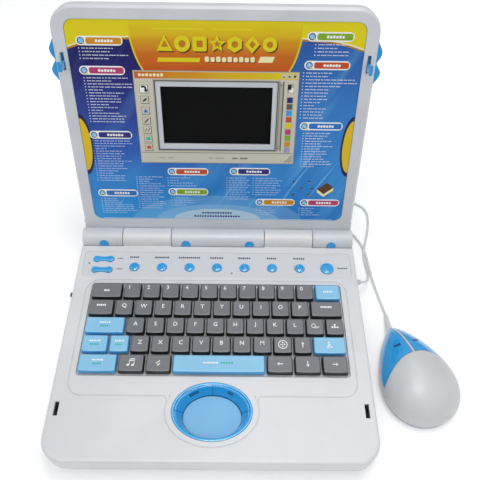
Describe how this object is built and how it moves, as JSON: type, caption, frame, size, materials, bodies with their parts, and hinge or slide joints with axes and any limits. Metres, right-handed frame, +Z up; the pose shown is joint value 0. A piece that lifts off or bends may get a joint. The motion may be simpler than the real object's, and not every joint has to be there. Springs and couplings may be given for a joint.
{
  "type": "toy laptop computer",
  "caption": "Children's toy laptop with an opening lid, a small screen in a printed panel, a keyboard, a touch pad and a wired mouse.",
  "frame": {"origin": "centre of the base's flat underside, on the table", "axes": "+Z up, -Y towards the user, +X to the user's right"},
  "size_m": [0.3544, 0.3038, 0.2354],
  "materials": {
    "base_shell": "fine satin texture",
    "lid_shell": "silver-grey satin",
    "overlay": "grained label film",
    "blue_plastic": "glossy",
    "touch_blue": "soft satin",
    "key_grey": "satin, darker at the sides",
    "key_blue": "satin",
    "switch_black": "satin",
    "printed_sheet": "printed and laminated",
    "screen_clear": "clear and glossy",
    "lcd": "dark glass look",
    "speaker_metal": "black basket",
    "circuit_board": "green solder mask",
    "silicone": "translucent grey",
    "steel": "bright zinc",
    "cell_jacket": "printed sleeve",
    "foot_rubber": "matt",
    "mouse_shell": "glossy off-white",
    "mouse_base": "satin",
    "cord_jacket": "soft vinyl"
  },
  "bodies": {
    "base": {"base_bottom_cover": "base_shell", "base_top_cover": "base_shell", "function_overlay": "overlay", "batteries": "cell_jacket", "battery_contacts": "steel", "rubber_feet": "foot_rubber", "base_screws": "steel", "hinge_pins": "steel", "main_board": "circuit_board", "keyboard_board": "circuit_board", "keyboard_membrane": "silicone", "switch_housing": "switch_black", "pad_dish": "blue_plastic", "touch_disc": "touch_blue", "cord_gland": "cord_jacket", "mouse_cord": "cord_jacket", "cord_coil": "cord_jacket"},
    "lid": {"lid_front_frame": "lid_shell", "lid_back_cover": "lid_shell", "printed_panel": "printed_sheet", "screen_window": "screen_clear", "lcd_module": "lcd", "speaker": "speaker_metal", "hinge_plugs": "blue_plastic", "lid_screws": "steel"},
    "mouse": {"mouse_bottom_shell": "mouse_base", "mouse_top_shell": "mouse_shell", "mouse_board": "circuit_board", "mouse_strain_relief": "cord_jacket"},
    "latch_left": {"latch_left": "blue_plastic"},
    "latch_right": {"latch_right": "blue_plastic"},
    "battery_door": {"battery_door": "base_shell"},
    "side_switch": {"side_switch": "switch_black"},
    "volume_up_button": {"volume_up_button": "blue_plastic"},
    "volume_down_button": {"volume_down_button": "blue_plastic"},
    "mode_button_1": {"mode_button_1": "blue_plastic"},
    "mode_button_2": {"mode_button_2": "blue_plastic"},
    "mode_button_3": {"mode_button_3": "blue_plastic"},
    "mode_button_4": {"mode_button_4": "blue_plastic"},
    "mode_button_5": {"mode_button_5": "blue_plastic"},
    "mode_button_6": {"mode_button_6": "blue_plastic"},
    "mode_button_7": {"mode_button_7": "blue_plastic"},
    "power_button": {"power_button": "blue_plastic"},
    "escape_key": {"escape_key": "key_grey"},
    "digit_keys": {"digit_keys": "key_grey"},
    "level_key": {"level_key": "key_grey"},
    "top_letter_keys": {"top_letter_keys": "key_grey"},
    "enter_key": {"enter_key": "key_grey"},
    "middle_letter_keys": {"middle_letter_keys": "key_grey"},
    "bottom_dark_keys": {"bottom_dark_keys": "key_grey"},
    "arrow_keys": {"arrow_keys": "key_grey"},
    "back_key": {"back_key": "key_blue"},
    "wide_blue_key": {"wide_blue_key": "key_blue"},
    "left_blue_keys": {"left_blue_keys": "key_blue"},
    "right_blue_key": {"right_blue_key": "key_blue"},
    "space_bar": {"space_bar": "key_blue"},
    "pad_left_button": {"pad_left_button": "blue_plastic"},
    "pad_right_button": {"pad_right_button": "blue_plastic"},
    "mouse_left_button": {"mouse_left_button": "blue_plastic"},
    "mouse_right_button": {"mouse_right_button": "blue_plastic"}
  },
  "joints": [
    {"name": "lid_hinge", "type": "hinge", "parent": "base", "child": "lid", "pos_m": [0, 0.104, 0.028], "axis": [1, 0, 0], "range_deg": [0, 107]},
    {"name": "latch_left_slide", "type": "slide", "parent": "lid", "child": "latch_left", "axis": [0, 0.2924, 0.9563], "range_m": [0, 0.0055]},
    {"name": "latch_right_slide", "type": "slide", "parent": "lid", "child": "latch_right", "axis": [0, 0.2924, 0.9563], "range_m": [0, 0.0055]},
    {"name": "battery_door_slide", "type": "slide", "parent": "base", "child": "battery_door", "axis": [0, -1, 0], "range_m": [0, 0.05]},
    {"name": "side_switch_slide", "type": "slide", "parent": "base", "child": "side_switch", "axis": [0, 1, 0], "range_m": [0, 0.004]},
    {"name": "volume_up_button_press", "type": "slide", "parent": "base", "child": "volume_up_button", "axis": [0, 0, -1], "range_m": [0, 0.001], "stiffness_N_per_m": 200, "springref_m": -0.0005},
    {"name": "volume_down_button_press", "type": "slide", "parent": "base", "child": "volume_down_button", "axis": [0, 0, -1], "range_m": [0, 0.001], "stiffness_N_per_m": 200, "springref_m": -0.0005},
    {"name": "mode_button_1_press", "type": "slide", "parent": "base", "child": "mode_button_1", "axis": [0, 0, -1], "range_m": [0, 0.001], "stiffness_N_per_m": 200, "springref_m": -0.0005},
    {"name": "mode_button_2_press", "type": "slide", "parent": "base", "child": "mode_button_2", "axis": [0, 0, -1], "range_m": [0, 0.001], "stiffness_N_per_m": 200, "springref_m": -0.0005},
    {"name": "mode_button_3_press", "type": "slide", "parent": "base", "child": "mode_button_3", "axis": [0, 0, -1], "range_m": [0, 0.001], "stiffness_N_per_m": 200, "springref_m": -0.0005},
    {"name": "mode_button_4_press", "type": "slide", "parent": "base", "child": "mode_button_4", "axis": [0, 0, -1], "range_m": [0, 0.001], "stiffness_N_per_m": 200, "springref_m": -0.0005},
    {"name": "mode_button_5_press", "type": "slide", "parent": "base", "child": "mode_button_5", "axis": [0, 0, -1], "range_m": [0, 0.001], "stiffness_N_per_m": 200, "springref_m": -0.0005},
    {"name": "mode_button_6_press", "type": "slide", "parent": "base", "child": "mode_button_6", "axis": [0, 0, -1], "range_m": [0, 0.001], "stiffness_N_per_m": 200, "springref_m": -0.0005},
    {"name": "mode_button_7_press", "type": "slide", "parent": "base", "child": "mode_button_7", "axis": [0, 0, -1], "range_m": [0, 0.001], "stiffness_N_per_m": 200, "springref_m": -0.0005},
    {"name": "power_button_press", "type": "slide", "parent": "base", "child": "power_button", "axis": [0, 0, -1], "range_m": [0, 0.001], "stiffness_N_per_m": 200, "springref_m": -0.0005},
    {"name": "escape_key_press", "type": "slide", "parent": "base", "child": "escape_key", "axis": [0, 0, -1], "range_m": [0, 0.002], "stiffness_N_per_m": 150, "springref_m": -0.001},
    {"name": "digit_keys_press", "type": "slide", "parent": "base", "child": "digit_keys", "axis": [0, 0, -1], "range_m": [0, 0.002], "stiffness_N_per_m": 300, "springref_m": -0.001},
    {"name": "level_key_press", "type": "slide", "parent": "base", "child": "level_key", "axis": [0, 0, -1], "range_m": [0, 0.002], "stiffness_N_per_m": 150, "springref_m": -0.001},
    {"name": "top_letter_keys_press", "type": "slide", "parent": "base", "child": "top_letter_keys", "axis": [0, 0, -1], "range_m": [0, 0.002], "stiffness_N_per_m": 300, "springref_m": -0.001},
    {"name": "enter_key_press", "type": "slide", "parent": "base", "child": "enter_key", "axis": [0, 0, -1], "range_m": [0, 0.002], "stiffness_N_per_m": 150, "springref_m": -0.001},
    {"name": "middle_letter_keys_press", "type": "slide", "parent": "base", "child": "middle_letter_keys", "axis": [0, 0, -1], "range_m": [0, 0.002], "stiffness_N_per_m": 300, "springref_m": -0.001},
    {"name": "bottom_dark_keys_press", "type": "slide", "parent": "base", "child": "bottom_dark_keys", "axis": [0, 0, -1], "range_m": [0, 0.002], "stiffness_N_per_m": 300, "springref_m": -0.001},
    {"name": "arrow_keys_press", "type": "slide", "parent": "base", "child": "arrow_keys", "axis": [0, 0, -1], "range_m": [0, 0.002], "stiffness_N_per_m": 150, "springref_m": -0.001},
    {"name": "back_key_press", "type": "slide", "parent": "base", "child": "back_key", "axis": [0, 0, -1], "range_m": [0, 0.002], "stiffness_N_per_m": 150, "springref_m": -0.001},
    {"name": "wide_blue_key_press", "type": "slide", "parent": "base", "child": "wide_blue_key", "axis": [0, 0, -1], "range_m": [0, 0.002], "stiffness_N_per_m": 150, "springref_m": -0.001},
    {"name": "left_blue_keys_press", "type": "slide", "parent": "base", "child": "left_blue_keys", "axis": [0, 0, -1], "range_m": [0, 0.002], "stiffness_N_per_m": 150, "springref_m": -0.001},
    {"name": "right_blue_key_press", "type": "slide", "parent": "base", "child": "right_blue_key", "axis": [0, 0, -1], "range_m": [0, 0.002], "stiffness_N_per_m": 150, "springref_m": -0.001},
    {"name": "space_bar_press", "type": "slide", "parent": "base", "child": "space_bar", "axis": [0, 0, -1], "range_m": [0, 0.002], "stiffness_N_per_m": 150, "springref_m": -0.001},
    {"name": "pad_left_button_press", "type": "slide", "parent": "base", "child": "pad_left_button", "axis": [0, 0, -1], "range_m": [0, 0.0012], "stiffness_N_per_m": 200, "springref_m": -0.0006},
    {"name": "pad_right_button_press", "type": "slide", "parent": "base", "child": "pad_right_button", "axis": [0, 0, -1], "range_m": [0, 0.0012], "stiffness_N_per_m": 200, "springref_m": -0.0006},
    {"name": "mouse_swivel", "type": "hinge", "parent": "base", "child": "mouse", "pos_m": [0.1636, 0.03, 0.0028], "axis": [0, 0, 1], "range_deg": [-8, 25]},
    {"name": "mouse_left_button_press", "type": "slide", "parent": "mouse", "child": "mouse_left_button", "axis": [0, 0, -1], "range_m": [0, 0.0008], "stiffness_N_per_m": 250, "springref_m": -0.0004},
    {"name": "mouse_right_button_press", "type": "slide", "parent": "mouse", "child": "mouse_right_button", "axis": [0, 0, -1], "range_m": [0, 0.0008], "stiffness_N_per_m": 250, "springref_m": -0.0004}
  ]
}
